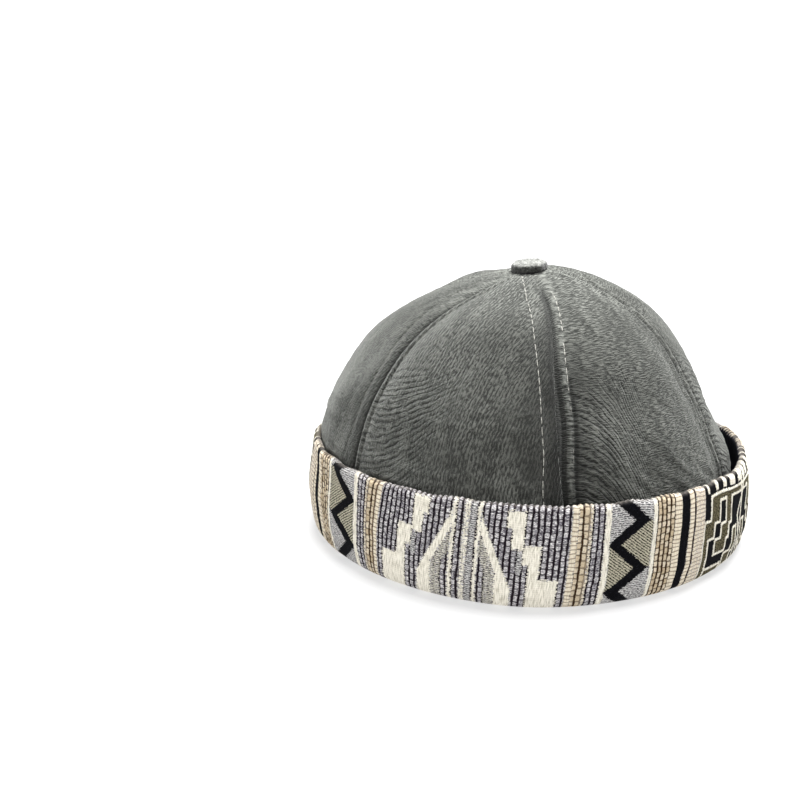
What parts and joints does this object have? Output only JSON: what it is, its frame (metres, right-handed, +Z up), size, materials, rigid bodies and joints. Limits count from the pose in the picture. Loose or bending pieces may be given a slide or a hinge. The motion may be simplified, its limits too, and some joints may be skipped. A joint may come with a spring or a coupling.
{
  "type": "brimless cuffed skull cap",
  "caption": "Brimless six-panel skull cap in grey plush cloth with a covered top button, a turned-up woven patterned cuff and an overlapping leather back strap.",
  "frame": {"origin": "middle of the cap's footprint on the surface that it rests on", "axes": "+Z up through the crown; the cap's front faces -Y and its back opening +Y; +X is the wearer's left"},
  "size_m": [0.199, 0.2052, 0.1246],
  "materials": {
    "crown_cloth": "matt brushed plush cloth with a crinkled nap",
    "button_cloth": "the same cloth, rubbed lighter and fuzzy",
    "cuff_jacquard": "thick woven jacquard of cream, lilac grey, navy and olive yarn",
    "strap_leather": "dark brown pebbled leather, satin",
    "closure_tape": "black fastening tape"
  },
  "bodies": {
    "root": {"panel_front": "crown_cloth", "panel_front_left": "crown_cloth", "panel_front_right": "crown_cloth", "panel_back_left": "crown_cloth", "panel_back_right": "crown_cloth", "panel_back": "crown_cloth", "cuff": "cuff_jacquard", "casing_left": "crown_cloth", "casing_right": "crown_cloth", "strap_left": "strap_leather", "strap_right": "strap_leather", "strap_closure": "closure_tape", "crown_button": "button_cloth"}
  },
  "joints": []
}
